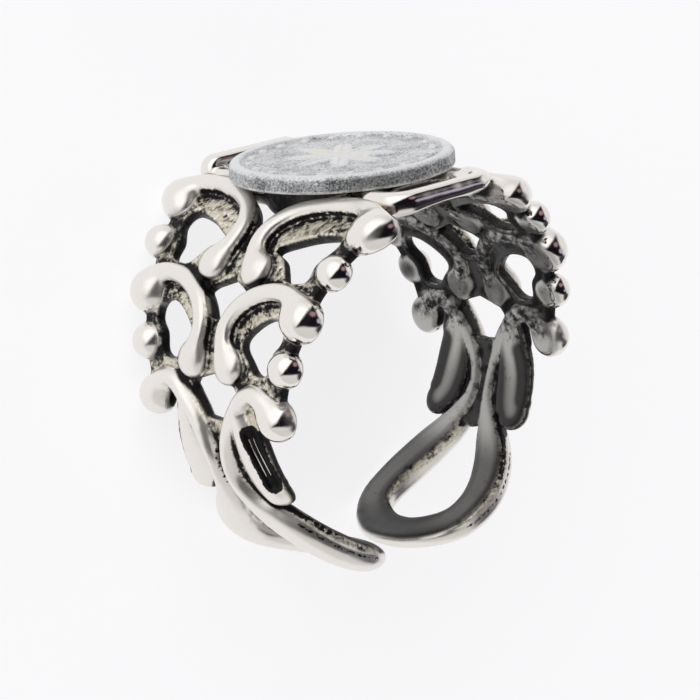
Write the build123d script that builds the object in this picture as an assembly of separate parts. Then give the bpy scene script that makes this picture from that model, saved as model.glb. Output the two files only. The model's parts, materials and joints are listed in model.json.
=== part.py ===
# A wide pierced scroll ring with a small round disc on top, lying on its side.
# The band is modelled upright in its own axes: the finger runs along Z, the disc faces -Y, and the shank's
# two loops end short of each other at +Y. The band mirrors left to right and edge to edge, so one quarter is
# built and mirrored twice.
# At the end the whole ring is leaned over to the pose in which it lies on a flat surface by itself.
from build123d import *
import os
from collections import namedtuple
from math import asin, atan2, cos, degrees, hypot, radians, sin

# Driving dimensions, in millimetres
bore_diameter = 17.5      # inside of the band, about ring size 7
web_wall = 0.8            # pierced sheet between the scrolls
bead_seat = 0.6           # how far the centres of beads and balls lie outside the bore
spring = 1.1              # how far the inside of the band lies out from the bore at the open back
rail_height = 1.5         # top of a scroll's rail above the bore
rail_crown = 0.3          # height of the rounded top of a rail
rail_width = 0.9          # width of a scroll's rail
shank_width = 2.0         # width of a rail in the shank's open loop
shank_crown = 0.45        # height of its rounded top
half_band = 8.73          # half the length of the band's pattern along the finger
top_ball = 1.29           # radius of the edge ball that ends the top scroll
middle_ball = 1.17        # the middle scroll's
bottom_ball = 1.1         # the bottom scroll's
upper_bead = 0.93         # radius of the single bead below the top scroll
lower_bead = 0.95         # radius of the single bead below the middle scroll
button_radius = 0.92      # the round end of a scroll, towards the middle of the band
button_edge = 0.45        # rounding of its top
tongue_height = 1.45      # top of the leaf tongue above the bore
tongue_width = 2.6
tongue_crown = 0.75       # height of its rounded top
tongue_groove = 0.7       # width of the groove along its outer flank
groove_depth = 0.35
groove_drop = 0.3         # how far the groove lies below the tongue's top
pad_diameter = 8.0        # round pad soldered under the disc
pad_rise = 0.85           # its flat top, above the bore
plate_share = 0.62        # the sheet under the pad, as a share of half_band
plate_turn = 22           # and how far round it reaches from the disc, in degrees
bar_length = 6.5          # edge bar, along the edge
bar_reach = 7.7           # its outer side, from the middle of the band
bar_depth = 4.2           # how far the bar's frame runs in from there
bar_width = 1.05          # width of the frame's members
bar_drop = 0.25           # its flat underside, below the top of the bore
bar_rise = 0.83           # its flat top, above the bore
near_bar_rise = 1.25      # top of the near bar's outer member, which stands higher
far_bar_rise = 1.45       # top of the far bar's
bar_corner = 0.7          # outer corner radius
bar_edge = 0.25           # rounding of the top edges
member_end = 0.7          # rounding of an outer member's ends, seen along the finger
member_edge = 0.4         # rounding along its edges
disc_diameter = 11.5
disc_thickness = 0.88     # at the rim
rim_width = 0.55
field_drop = 0.16         # how far the flat field lies below the rim
stud_count = 20           # small domes round the field
stud_radius = 0.34
petal_count = 8           # petals of the rosette in the middle
petal_length = 2.7
petal_width = 0.95
relief_height = 0.15      # the ornament's height above the field
seat_gap = 0.03           # between the disc and its pad

# Worked out from them
bore = bore_diameter / 2
bead_circle = bore + bead_seat
web_outer = bore + web_wall
rail_top = bore + rail_height
pad_top = bore + pad_rise
bar_foot = bore - bar_drop
bar_top = bore + bar_rise
margin = 0.4              # spare length on a piece that is trimmed to size
near = 0.05               # edges this close to a level lie on it

# A rail is lofted through stations. across is the distance from the middle of the band as a share of
# half_band, turn the angle round the finger from the disc in degrees, wide the rail's width as a share of its
# own size, and rise how much higher than its own size the rail stands there.
Station = namedtuple("Station", "across turn wide rise", defaults=[0])
Corner = namedtuple("Corner", "across turn")
Ball = namedtuple("Ball", "across turn radius")
Swell = namedtuple("Swell", "turn share")

TOP_SCROLL = [
    Station(0.182, 50.0, 1.10),
    Station(0.130, 46.0, 1.10),
    Station(0.103, 41.0, 1.00),
    Station(0.115, 36.5, 0.95),
    Station(0.155, 32.5, 0.95),
    Station(0.220, 29.0, 0.95),
    Station(0.325, 26.0, 0.95),
    Station(0.455, 24.0, 0.95),
    Station(0.590, 22.9, 1.00),
    Station(0.710, 23.6, 1.15),
    Station(0.795, 26.0, 1.35),
    Station(0.836, 29.8, 1.50),
]
MIDDLE_SCROLL = [
    Station(0.162, 79.8, 1.10),
    Station(0.125, 75.5, 1.10),
    Station(0.105, 70.5, 1.00),
    Station(0.130, 65.8, 0.95),
    Station(0.200, 61.2, 0.95),
    Station(0.310, 57.7, 0.95),
    Station(0.430, 56.0, 0.95),
    Station(0.535, 56.2, 1.05),
    Station(0.617, 58.3, 1.30),
    Station(0.663, 62.0, 1.45),
]
BOTTOM_SCROLL = [
    Station(0.530, 93.4, 0.70),
    Station(0.455, 88.6, 0.60),
    Station(0.370, 86.6, 0.52),
    Station(0.285, 88.4, 0.52),
    Station(0.215, 92.5, 0.52),
    Station(0.155, 97.0, 0.52),
    Station(0.098, 103.0, 0.46, 0.10),
    Station(0.066, 110.0, 0.42, 0.20),
    Station(0.074, 116.5, 0.46, 0.25),
    Station(0.118, 122.5, 0.60, 0.30),
    Station(0.188, 129.0, 0.82, 0.38),
    Station(0.280, 136.5, 0.96, 0.46),
    Station(0.350, 144.5, 0.98, 0.52),
    Station(0.380, 152.0, 0.95, 0.55),
    Station(0.370, 159.0, 0.95, 0.55),
    Station(0.310, 164.2, 0.95, 0.55),
    Station(0.200, 168.4, 0.98, 0.55),
    Station(0.080, 170.9, 1.00, 0.55),
    Station(-0.040, 171.2, 1.00, 0.55),
]
BALLS = [
    Ball(0.836, 30.1, top_ball),
    Ball(0.758, 46.1, upper_bead),
    Ball(0.663, 62.3, middle_ball),
    Ball(0.603, 77.5, lower_bead),
    Ball(0.530, 93.7, bottom_ball),
]
BUTTONS = [Corner(0.187, 50.4), Corner(0.160, 79.8)]

# Outlines of the sheet behind each scroll, and of the holes sawn through it
TOP_SHEET = [
    Corner(0, 36.0),
    Corner(0.085, 35.0),
    Corner(0.14, 30.5),
    Corner(0.333, 24.0),
    Corner(0.592, 20.8),
    Corner(0.77, 24.0),
    Corner(0.835, 31.0),
    Corner(0.745, 47.0),
    Corner(0.70, 57.0),
    Corner(0.445, 55.0),
    Corner(0.32, 56.7),
    Corner(0.21, 60.0),
    Corner(0.145, 57.0),
    Corner(0, 51.0),
]
MIDDLE_SHEET = [
    Corner(0, 68.0),
    Corner(0.10, 66.5),
    Corner(0.205, 60.3),
    Corner(0.445, 54.9),
    Corner(0.645, 58.0),
    Corner(0.70, 62.5),
    Corner(0.62, 76.5),
    Corner(0.57, 88.0),
    Corner(0.37, 85.8),
    Corner(0.275, 87.5),
    Corner(0.22, 90.0),
    Corner(0.165, 86.0),
    Corner(0, 81.5),
]
BOTTOM_SHEET = [
    Corner(0, 98.0),
    Corner(0.12, 97.0),
    Corner(0.20, 91.5),
    Corner(0.33, 88.5),
    Corner(0.37, 97.0),
    Corner(0.30, 113.0),
    Corner(0.20, 121.0),
    Corner(0.10, 126.0),
    Corner(0, 129.0),
]
TOP_HOLE = [
    Corner(0.225, 42.0),
    Corner(0.33, 38.5),
    Corner(0.48, 35.0),
    Corner(0.64, 33.5),
    Corner(0.67, 38.0),
    Corner(0.60, 44.5),
    Corner(0.585, 50.5),
    Corner(0.44, 51.5),
    Corner(0.37, 47.5),
    Corner(0.32, 44.5),
]
MIDDLE_HOLE = [
    Corner(0.225, 72.5),
    Corner(0.31, 67.0),
    Corner(0.42, 63.8),
    Corner(0.53, 64.5),
    Corner(0.55, 69.5),
    Corner(0.49, 74.0),
    Corner(0.46, 80.0),
    Corner(0.36, 81.0),
    Corner(0.29, 77.5),
]
TONGUE = [
    Station(0.230, 91.0, 0.35),
    Station(0.238, 96.0, 0.64),
    Station(0.252, 101.0, 0.84),
    Station(0.265, 106.0, 0.96),
    Station(0.275, 111.0, 1.00),
    Station(0.288, 115.5, 0.98),
    Station(0.305, 119.5, 0.84),
    Station(0.315, 122.6, 0.55),
]
TONGUE_GROOVE = [Corner(0.310, 97.0), Corner(0.390, 116.5)]

# How the inside of the band widens towards the open back. share is how far out it lies there, of spring.
SPRING = [
    Swell(90, 0),
    Swell(97, 0.11),
    Swell(104, 0.27),
    Swell(112, 0.36),
    Swell(122, 0.38),
    Swell(134, 0.39),
    Swell(146, 0.40),
    Swell(153, 0.44),
    Swell(158, 0.51),
    Swell(163, 0.65),
    Swell(168, 0.82),
    Swell(174, 0.95),
    Swell(180, 1),
]


def outward(turn):
    """Unit vector straight out of the band at an angle from the disc."""
    return Vector(sin(radians(turn)), -cos(radians(turn)), 0)


def spot(across, turn, out):
    """Point at a share of the half band, an angle from the disc and a distance from the centre line."""
    return outward(turn) * out + Vector(0, 0, across * half_band)


def round_bar(radius, low, high):
    """Cylinder about the finger's centre line."""
    return Pos(0, 0, (low + high) / 2) * Cylinder(radius, high - low)


def tombstone(plane, half_width, crown, height):
    """Section of a rail: flat sides up from inside the bore, and a rounded top."""
    low = bore - bead_circle - 2 * margin
    top = height - bead_circle
    shoulder = top - min(crown, half_width)
    with BuildSketch(plane) as section:
        with BuildLine():
            Polyline((shoulder, half_width), (low, half_width), (low, -half_width), (shoulder, -half_width))
            ThreePointArc((shoulder, -half_width), (top, 0), (shoulder, half_width))
        make_face()
    return section.sketch.faces()[0].outer_wire()


def rail(stations, full_width, crown, height):
    """Loft of a raised rail along its stations, square to the band all the way."""
    places = [spot(s.across, s.turn, bead_circle) for s in stations]
    wires = []
    for i, station in enumerate(stations):
        out = outward(station.turn)
        along = places[min(i + 1, len(places) - 1)] - places[max(i - 1, 0)]
        along = along - out * along.dot(out)
        plane = Plane(origin=places[i], x_dir=out, z_dir=along.normalized())
        wires.append(tombstone(plane, station.wide * full_width / 2, crown, height + station.rise))
    return Solid.make_loft(wires)


def prism(corners, low, high, smooth=False):
    """Straight-sided block whose outline has its corners at given places of the sheet's outer surface."""
    middle = (min(c.turn for c in corners) + max(c.turn for c in corners)) / 2
    plane = Plane(origin=outward(middle) * low, x_dir=(0, 0, 1), z_dir=outward(middle))
    points = [(c.across * half_band, web_outer * sin(radians(middle - c.turn))) for c in corners]
    with BuildSketch(plane) as outline:
        with BuildLine():
            if smooth:
                Spline(*points, periodic=True)
            else:
                Polyline(*points, close=True)
        make_face()
    return extrude(outline.sketch, high - low)


def sheet(outlines, holes=()):
    """The pierced sheet inside some outlines, curved with the band."""
    shell = round_bar(web_outer, -half_band, half_band) - round_bar(bore - margin, -half_band, half_band)
    blocks = [prism(outline, bore / 2, 2 * bore) for outline in outlines]
    piece = shell & blocks[0].fuse(*blocks[1:])
    for hole in holes:
        piece = piece - prism(hole, bore / 2, 2 * bore, smooth=True)
    return piece


def tongue():
    """Leaf-shaped tongue beside the bottom scroll, with a groove along it."""
    top = bore + tongue_height
    leaf = rail(TONGUE, tongue_width, tongue_crown, top)
    ends = [spot(c.across, c.turn, top - groove_drop) for c in TONGUE_GROOVE]
    middle = (TONGUE_GROOVE[0].turn + TONGUE_GROOVE[1].turn) / 2
    start = Plane(origin=ends[0], x_dir=outward(middle), z_dir=(ends[1] - ends[0]).normalized())
    with BuildSketch(start) as section:
        Ellipse(groove_depth, tongue_groove / 2)
    return leaf - extrude(section.sketch, (ends[1] - ends[0]).length)


def button(place):
    """Round, flat-sided end of a scroll with a rounded top, standing in the band."""
    foot = Plane(origin=spot(place.across, place.turn, bore - margin), z_dir=outward(place.turn))
    height = rail_height + margin
    whole = Cylinder(button_radius, height, align=(Align.CENTER, Align.CENTER, Align.MIN))
    return foot * fillet(whole.edges().sort_by(Axis.Z)[-1], button_edge)


def quarter():
    """One quarter of the band, between the middle of the band and one edge, on one side of the disc."""
    pieces = [
        rail(TOP_SCROLL, rail_width, rail_crown, rail_top),
        rail(MIDDLE_SCROLL, rail_width, rail_crown, rail_top),
        rail(BOTTOM_SCROLL, shank_width, shank_crown, rail_top),
        sheet([TOP_SHEET, MIDDLE_SHEET, BOTTOM_SHEET], [TOP_HOLE, MIDDLE_HOLE]),
        tongue(),
    ]
    for ball in BALLS:
        pieces.append(Pos(*spot(ball.across, ball.turn, bead_circle)) * Sphere(ball.radius))
    pieces.extend(button(place) for place in BUTTONS)
    whole = pieces[0]
    for piece in pieces[1:]:
        whole = whole + piece
    reach = 3 * bore
    return whole & Pos(reach / 2, 0, reach / 2) * Box(reach, 2 * reach, reach)


def top_plate():
    """The flat-topped parts under the disc: the round pad, the sheet below it and the two edge bars."""
    pad = Pos(0, -pad_top / 2, 0) * Rot(90, 0, 0) * Cylinder(pad_diameter / 2, pad_top)
    square = [Corner(i * plate_share, j * plate_turn) for i, j in ((-1, -1), (1, -1), (1, 1), (-1, 1))]
    plate = pad + sheet([square])
    for side, rise in ((-1, far_bar_rise), (1, near_bar_rise)):
        plate = plate + edge_bar(side) + outer_member(side, bore + rise)
    return plate


def edge_bar(side):
    """Rounded rectangular frame behind an outer member, open in the middle, with its top edges rounded."""
    depth = bar_depth - bar_width / 2
    middle = side * (bar_reach - bar_depth + depth / 2)
    plane = Plane(origin=(0, -bore, middle), x_dir=(1, 0, 0), z_dir=(0, -1, 0))
    with BuildSketch(plane) as outline:
        RectangleRounded(bar_length - 2 * bar_edge, depth, bar_corner)
    frame = extrude(outline.sketch, bar_top - bore)
    top_edges = frame.edges().filter_by(lambda e: abs(e.center().Y + bar_top) < near)
    frame = frame.fillet(bar_edge, top_edges)
    slot_plane = Plane(origin=(0, 0, side * (bar_reach - bar_depth / 2)), x_dir=(1, 0, 0), z_dir=(0, -1, 0))
    with BuildSketch(slot_plane) as slot:
        RectangleRounded(bar_length - 2 * bar_width, bar_depth - 2 * bar_width, bar_corner / 2)
    return frame - extrude(slot.sketch, 2 * bore)


def outer_member(side, top):
    """A bar's outer member: a rounded rod that stands higher than the rest of the frame."""
    middle = side * (bar_reach - bar_width / 2)
    plane = Plane(origin=(0, -(bar_foot + top) / 2, middle), x_dir=(1, 0, 0), z_dir=(0, 0, 1))
    with BuildSketch(plane) as outline:
        RectangleRounded(bar_length, top - bar_foot, member_end)
    rod = extrude(outline.sketch, bar_width / 2, both=True)
    rims = rod.edges().filter_by(lambda e: abs(e.center().Z - middle) > bar_width / 2 - near)
    return rod.fillet(member_edge, rims)


def finger_hole():
    """What is cut out for the finger: a round bore that widens towards the open back."""
    right = [outward(swell.turn) * (bore + swell.share * spring) for swell in SPRING]
    left = [Vector(-place.X, place.Y, 0) for place in reversed(right[:-1])]
    along = outward(SPRING[0].turn + 90)
    with BuildSketch() as outline:
        with BuildLine():
            ThreePointArc(left[-1], (0, -bore, 0), right[0])
            Spline(*right, *left, tangents=(along, Vector(along.X, -along.Y, 0)))
        make_face()
    return extrude(outline.sketch, 2 * bore, both=True)


def band():
    """The whole cast ring as one solid, upright."""
    first = quarter()
    half = first + mirror(first, about=Plane.XY)
    whole = half + mirror(half, about=Plane.YZ) + top_plate()
    return whole - finger_hole()


def disc():
    """The round disc: a raised rim, a ring of small domes and a rosette, all on the flat field."""
    seat = pad_top + seat_gap
    radius = disc_diameter / 2
    field = disc_thickness - field_drop
    on_top = (Align.CENTER, Align.CENTER, Align.MIN)
    body = Cylinder(radius, disc_thickness, align=on_top)
    body = body - Pos(0, 0, field) * Cylinder(radius - rim_width, field_drop * 2, align=on_top)
    ring = radius - rim_width - 1.5 * stud_radius
    for i in range(stud_count):
        turn = 360 * i / stud_count
        dome = Pos(ring, 0, field - stud_radius + relief_height) * Sphere(stud_radius)
        body = body + Rot(0, 0, turn) * dome
    petal = Pos(petal_length / 2, 0, field) * Ellipse(petal_length / 2, petal_width / 2)
    for i in range(petal_count):
        body = body + Rot(0, 0, 360 * i / petal_count) * extrude(petal, relief_height)
    return Pos(0, -seat, 0) * Rot(90, 0, 0) * body


def lean():
    """Angle by which the ring leans when it lies on its edge, on two top balls and the two shank loops."""
    ball = spot(BALLS[0].across, BALLS[0].turn, bead_circle)
    angles = []
    for station in BOTTOM_SCROLL:
        shoulder = rail_top + station.rise - shank_crown
        side = spot(station.across, station.turn, shoulder) + Vector(0, 0, station.wide * shank_width / 2)
        run, drop = side.Y - ball.Y, ball.Z - side.Z
        angles.append(degrees(atan2(drop, run) + asin(top_ball / hypot(run, drop))))
    return min(angles)


def main():
    os.makedirs("parts", exist_ok=True)
    lying = Rot(-lean(), 0, 0)
    export_step(lying * band(), "parts/scroll_band.step")
    export_step(lying * disc(), "parts/coin_disc.step")


if __name__ == "__main__":
    main()
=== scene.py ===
"""A wide pierced scroll ring with a round grey disc on top, lying on its side on a pale floor.

The silver is worked out the way it is cast: rails, balls, sheet and tongues are distances in a field, melted
together with small fillets, and meshed at the end. Sizes are in millimetres in the ring's upright axes,
where the finger runs along Z and the disc faces -Y, and each mesh is leaned over into the frame's own pose
as it is made.
"""
import json
import logging
import math
from dataclasses import dataclass
from enum import Enum
from itertools import product

import bpy
import numpy as np
from mathutils import Matrix, Vector


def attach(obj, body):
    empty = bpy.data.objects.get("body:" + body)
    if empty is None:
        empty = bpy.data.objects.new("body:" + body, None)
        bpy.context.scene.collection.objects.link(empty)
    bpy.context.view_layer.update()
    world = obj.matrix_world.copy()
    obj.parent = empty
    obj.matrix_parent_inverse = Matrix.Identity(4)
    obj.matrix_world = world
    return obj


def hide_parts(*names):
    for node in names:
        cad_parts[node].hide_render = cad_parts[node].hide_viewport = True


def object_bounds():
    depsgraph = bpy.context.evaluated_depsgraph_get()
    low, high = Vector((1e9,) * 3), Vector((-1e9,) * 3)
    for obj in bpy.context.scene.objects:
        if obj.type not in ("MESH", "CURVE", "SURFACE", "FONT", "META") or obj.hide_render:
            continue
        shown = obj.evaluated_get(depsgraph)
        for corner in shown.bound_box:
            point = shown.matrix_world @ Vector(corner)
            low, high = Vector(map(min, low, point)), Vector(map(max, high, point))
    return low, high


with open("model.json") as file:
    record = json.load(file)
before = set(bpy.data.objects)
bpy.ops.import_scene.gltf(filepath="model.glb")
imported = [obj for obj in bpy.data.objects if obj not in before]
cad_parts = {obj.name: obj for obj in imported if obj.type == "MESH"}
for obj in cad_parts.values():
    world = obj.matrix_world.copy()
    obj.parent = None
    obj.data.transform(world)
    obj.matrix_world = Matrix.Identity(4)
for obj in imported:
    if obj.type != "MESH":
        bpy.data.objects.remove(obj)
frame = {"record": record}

CAD_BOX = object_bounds()
LOG = logging.getLogger("scroll_ring")
MM = 0.001
# The distance that empty space starts with, and how far off the skin's openness is felt, in millimetres.
FAR = 9.0
ROOM_REACHES = {"room": 0.35, "wide_room": 0.7}


class Side(Enum):
    """The two sides of the band, seen from the disc."""

    RIGHT = 1
    LEFT = -1


class Edge(Enum):
    """The two edges of the band, along the finger."""

    NEAR = 1
    FAR = -1


@dataclass(frozen=True)
class Station:
    """One place on the way of a rail.

    across is the distance from the middle of the band as a share of the half band, turn the angle from the
    disc in degrees, wide the rail's width as a share of its own size, and rise how much higher it stands
    there.
    """

    across: float
    turn: float
    wide: float
    rise: float = 0.0


@dataclass(frozen=True)
class Spot:
    """A place on the band: a share of the half band across it, and an angle from the disc in degrees."""

    across: float
    turn: float


@dataclass(frozen=True)
class Ball:
    """A ball on the band's edge, in millimetres.

    flow is the size of the fillet where it meets the metal, and long its half length on the slant where it
    is a drawn-out drop instead of a ball.
    """

    across: float
    turn: float
    radius: float
    flow: float
    long: float = 0.0


def way(*rows: tuple[float, ...]) -> tuple[Station, ...]:
    """The stations of a rail, from the numbers of each."""
    return tuple(Station(*row) for row in rows)


def spots(*rows: tuple[float, float]) -> tuple[Spot, ...]:
    """Places on the band, from the numbers of each."""
    return tuple(Spot(*row) for row in rows)


def smooth_step(low: float, high: float, value: np.ndarray) -> np.ndarray:
    """Ramp from 0 at low to 1 at high, flat at both ends."""
    part = np.clip((value - low) / (high - low), 0, 1)
    return part * part * (3 - 2 * part)


def melt(a: np.ndarray, b: np.ndarray, fillet: float) -> np.ndarray:
    """Joins two distances into one, with a fillet of about that size where they meet.

    Args:
        a: The first distance field.
        b: The second distance field.
        fillet: How far from the crease the metal flows, in millimetres.

    Returns:
        The distance field of both together.
    """
    share = np.clip(0.5 + 0.5 * (b - a) / fillet, 0, 1)
    return b + (a - b) * share - fillet * share * (1 - share)


def carve(a: np.ndarray, b: np.ndarray, fillet: float) -> np.ndarray:
    """Keeps what lies in both distances, with a rounding of about that size on the edge between them."""
    return -melt(-a, -b, fillet)


def slab(lateral: np.ndarray, above: np.ndarray, rounding: float) -> np.ndarray:
    """Distance to a form given by its distance sideways and its distance above the top, with a rounded edge.

    Args:
        lateral: Distance outside the form's outline, negative inside.
        above: Distance above the form's top, negative below.
        rounding: Radius of the edge between the two.

    Returns:
        The distance field of the form.
    """
    p = lateral + rounding
    q = above + rounding
    return np.hypot(np.maximum(p, 0), np.maximum(q, 0)) + np.minimum(np.maximum(p, q), 0) - rounding


def between(value: np.ndarray, low: float, high: np.ndarray | float) -> np.ndarray:
    """Distance outside two limits, negative between them."""
    return np.abs(value - (high + low) / 2) - (high - low) / 2


def line_gap(u: np.ndarray, w: np.ndarray, rows: np.ndarray) -> tuple[np.ndarray, np.ndarray]:
    """Nearest distance from flat places to a line, and what the line holds there.

    Args:
        u: Places across the band.
        w: Places along its circumference.
        rows: The line's points: across, along, then any values that it carries.

    Returns:
        The distance, and the carried values at the nearest point.
    """
    best = np.full(np.broadcast(u, w).shape, np.inf)
    held = np.zeros(best.shape + (rows.shape[1] - 2,))
    for a, b in zip(rows[:-1], rows[1:]):
        d = b[:2] - a[:2]
        t = np.clip(((u - a[0]) * d[0] + (w - a[1]) * d[1]) / (d @ d + 1e-12), 0, 1)
        gap = np.hypot(u - a[0] - t * d[0], w - a[1] - t * d[1])
        nearer = gap < best
        best = np.where(nearer, gap, best)
        held = np.where(nearer[..., None], a[2:] + t[..., None] * (b - a)[2:], held)
    return best, held


def flowing(rows: np.ndarray, closed: bool, parts: int) -> np.ndarray:
    """Smooth line through rows of numbers, each column interpolated alike.

    Args:
        rows: One row for each given point.
        closed: Whether the line returns to its first point.
        parts: How many steps are made from one point to the next.

    Returns:
        The rows of the finer line.
    """
    count = len(rows)
    fine = []
    for i in range(count if closed else count - 1):
        near = [(i + k) % count if closed else min(max(i + k, 0), count - 1) for k in (-1, 0, 1, 2)]
        a, b, c, d = rows[near]
        for t in np.arange(parts) / parts:
            fine.append(0.5 * (2 * b + (c - a) * t + (2 * a - 5 * b + 4 * c - d) * t ** 2
                               + (3 * b - 3 * c + d - a) * t ** 3))
    if not closed:
        fine.append(rows[-1])
    return np.array(fine)


class RingPose:
    """How the upright ring is leaned over to lie on its side, read from the frame's finger hole."""

    def __init__(self) -> None:
        """Reads the finger hole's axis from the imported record."""
        hole = next(m for m in frame["record"]["mounts"] if m["name"] == "finger_hole")
        self.lean = math.atan2(hole["axis"][1], hole["axis"][2])

    def lie(self, upright: np.ndarray) -> np.ndarray:
        """Turns upright points into the frame's.

        Args:
            upright: One row for each point, in millimetres.

        Returns:
            One row for each point, in metres.
        """
        c, s = math.cos(self.lean), math.sin(self.lean)
        x, y, z = upright[:, 0], upright[:, 1], upright[:, 2]
        return np.stack([x, y * c + z * s, -y * s + z * c], axis=1) * MM

    def turned(self, upright: tuple[float, float, float]) -> Vector:
        """One upright point or direction, turned the same way."""
        return Vector(self.lie(np.array([upright], float))[0])


POSE = RingPose()


class MetalField:
    """Distances to the metal's skin on a regular grid, negative inside, in millimetres."""

    # Reading stops this many steps short of the grid's size. A skin point is nudged this often, each time by
    # this many steps at most.
    END = 1.001
    NUDGES = 3
    NUDGE = 0.4

    def __init__(self, low: tuple[float, ...], high: tuple[float, ...], step: float) -> None:
        """Lays the grid out.

        Args:
            low: Lowest corner of the grid.
            high: Highest corner of the grid.
            step: Distance between neighbouring grid points.
        """
        self.low = np.array(low)
        self.step = step
        counts = [int(math.ceil((h - l) / step)) + 1 for l, h in zip(low, high)]
        self.lines = [l + step * np.arange(n) for l, n in zip(low, counts)]
        self.value = np.full(counts, FAR)
        self.gloss = np.zeros(counts)

    def add(self, distance: np.ndarray, fillet: float, gloss: object = 1.0) -> None:
        """Melts another form into the metal.

        Args:
            distance: The form's distance field.
            fillet: Size of the fillet where it meets the metal.
            gloss: How polished the form is, from 0 to 1, as one number or a grid.
        """
        old = np.clip(0.5 + 0.5 * (distance - self.value) / fillet, 0, 1)
        self.gloss = gloss + (self.gloss - gloss) * old
        self.value = melt(self.value, distance, fillet)

    def cut(self, distance: np.ndarray, rounding: float) -> None:
        """Cuts a form out of the metal."""
        self.value = carve(self.value, -distance, rounding)

    def read(self, places: np.ndarray, grid: np.ndarray | None = None) -> np.ndarray:
        """Reads the distance, or another grid's value, at any places.

        Args:
            places: One row for each place, in grid steps from the lowest corner.
            grid: The grid to read, or None for the distance.

        Returns:
            One value for each place.
        """
        grid = self.value if grid is None else grid
        p = np.clip(places, 0, np.array(grid.shape) - self.END)
        cell = np.floor(p).astype(int)
        total = np.zeros(len(p))
        for corner in product((0, 1), repeat=3):
            weight = np.prod(np.abs(1 - np.array(corner) - (p - cell)), axis=1)
            total += weight * grid[tuple((cell + corner).T)]
        return total

    def slope(self, places: np.ndarray) -> np.ndarray:
        """Finds the way in which the distance grows fastest.

        Args:
            places: One row for each place, in grid steps.

        Returns:
            One unit vector for each place.
        """
        halves = np.eye(3) / 2
        uphill = np.stack([self.read(places + half) - self.read(places - half) for half in halves], axis=1)
        return uphill / (np.linalg.norm(uphill, axis=1, keepdims=True) + 1e-9)

    def skin(self) -> tuple[np.ndarray, np.ndarray]:
        """Meshes the metal's skin with one point in each grid cell that it passes through.

        Returns:
            The points in grid steps, on the exact skin, and the four-cornered faces as point numbers.
        """
        v = self.value
        inside = v < 0
        size = np.array(v.shape) - 1
        corners = list(product((0, 1), repeat=3))

        def shifted(grid: np.ndarray, c: tuple[int, int, int]) -> np.ndarray:
            """The grid's values at one corner of every cell."""
            return grid[c[0]:size[0] + c[0], c[1]:size[1] + c[1], c[2]:size[2] + c[2]]

        filled = sum(shifted(inside, c).astype(np.int8) for c in corners)
        active = (filled > 0) & (filled < len(corners))
        cells = np.argwhere(active)
        number = np.full(active.shape, -1)
        number[active] = np.arange(len(cells))
        total = np.zeros((len(cells), 3))
        hits = np.zeros(len(cells))
        for a, b in product(corners, repeat=2):
            if sum(b) - sum(a) != 1 or any(q < p for p, q in zip(a, b)):
                continue
            va = v[tuple((cells + a).T)]
            vb = v[tuple((cells + b).T)]
            crossed = (va < 0) != (vb < 0)
            part = va[crossed] / (va[crossed] - vb[crossed])
            total[crossed] += np.array(a) + part[:, None] * (np.array(b) - np.array(a))
            hits[crossed] += 1
        points = cells + total / hits[:, None]
        faces = []
        for axis in range(3):
            p, q = (axis + 1) % 3, (axis + 2) % 3
            ahead = np.roll(inside, -1, axis)
            crossed = inside != ahead
            trim = [slice(1, -1)] * 3
            trim[axis] = slice(0, -1)
            at = np.argwhere(crossed[tuple(trim)]) + [0 if i == axis else 1 for i in range(3)]
            ep, eq = np.eye(3, dtype=int)[p], np.eye(3, dtype=int)[q]
            quad = np.stack([number[tuple((at + shift).T)] for shift in (-ep - eq, -eq, 0 * ep, -ep)], axis=1)
            outward = inside[tuple(at.T)]
            faces.append(np.where(outward[:, None], quad, quad[:, ::-1]))
        return self.settled(points), np.concatenate(faces)

    def settled(self, points: np.ndarray) -> np.ndarray:
        """Moves skin points onto the exact skin.

        Args:
            points: One row for each point, in grid steps.

        Returns:
            The moved points.
        """
        for _ in range(self.NUDGES):
            off = np.clip(self.read(points) / self.step, -self.NUDGE, self.NUDGE)
            points = points - self.slope(points) * off[:, None]
        return points

    def room(self, points: np.ndarray, reach: float) -> np.ndarray:
        """How free the air is above skin points: 1 on open skin, towards 0 down in a crevice."""
        above = self.read(points + self.slope(points) * reach / self.step)
        return np.clip(above / reach, 0, 1)

    def openness(self, points: np.ndarray) -> dict[str, np.ndarray]:
        """The marks room and wide_room: how free the air is close to skin points and further off."""
        return {label: self.room(points, reach) for label, reach in ROOM_REACHES.items()}


def new_piece(name: str, points: np.ndarray, faces: np.ndarray, marks: dict[str, np.ndarray]
              ) -> bpy.types.Object:
    """Makes a smooth mesh object from points in metres.

    Args:
        name: The piece's name.
        points: One row for each point.
        faces: One row of point numbers for each face.
        marks: Named values, one for each point, that the finish reads.

    Returns:
        The new object, linked to the scene.
    """
    mesh = bpy.data.meshes.new(name)
    corners = faces.shape[1]
    mesh.vertices.add(len(points))
    mesh.vertices.foreach_set("co", points.astype(np.float32).ravel())
    mesh.loops.add(faces.size)
    mesh.loops.foreach_set("vertex_index", faces.astype(np.int32).ravel())
    mesh.polygons.add(len(faces))
    mesh.polygons.foreach_set("loop_start", np.arange(0, faces.size, corners, dtype=np.int32))
    mesh.polygons.foreach_set("use_smooth", np.ones(len(faces), dtype=bool))
    for label, values in marks.items():
        layer = mesh.attributes.new(label, "FLOAT", "POINT")
        layer.data.foreach_set("value", values.astype(np.float32))
    mesh.update(calc_edges=True)
    mesh.validate()
    piece = bpy.data.objects.new(name, mesh)
    bpy.context.scene.collection.objects.link(piece)
    return piece


def ring_faces(first: int, rings: int, around: int) -> np.ndarray:
    """Joins rings of points into a tube.

    Args:
        first: Number of the first ring's first point.
        rings: How many rings there are, one after another.
        around: How many points each ring has.

    Returns:
        One row of four point numbers for each face.
    """
    step = np.arange(around)
    ahead = (step + 1) % around
    a = first + around * np.arange(rings - 1)[:, None]
    return np.stack([a + step, a + ahead, a + around + ahead, a + around + step], axis=-1).reshape(-1, 4)


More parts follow.
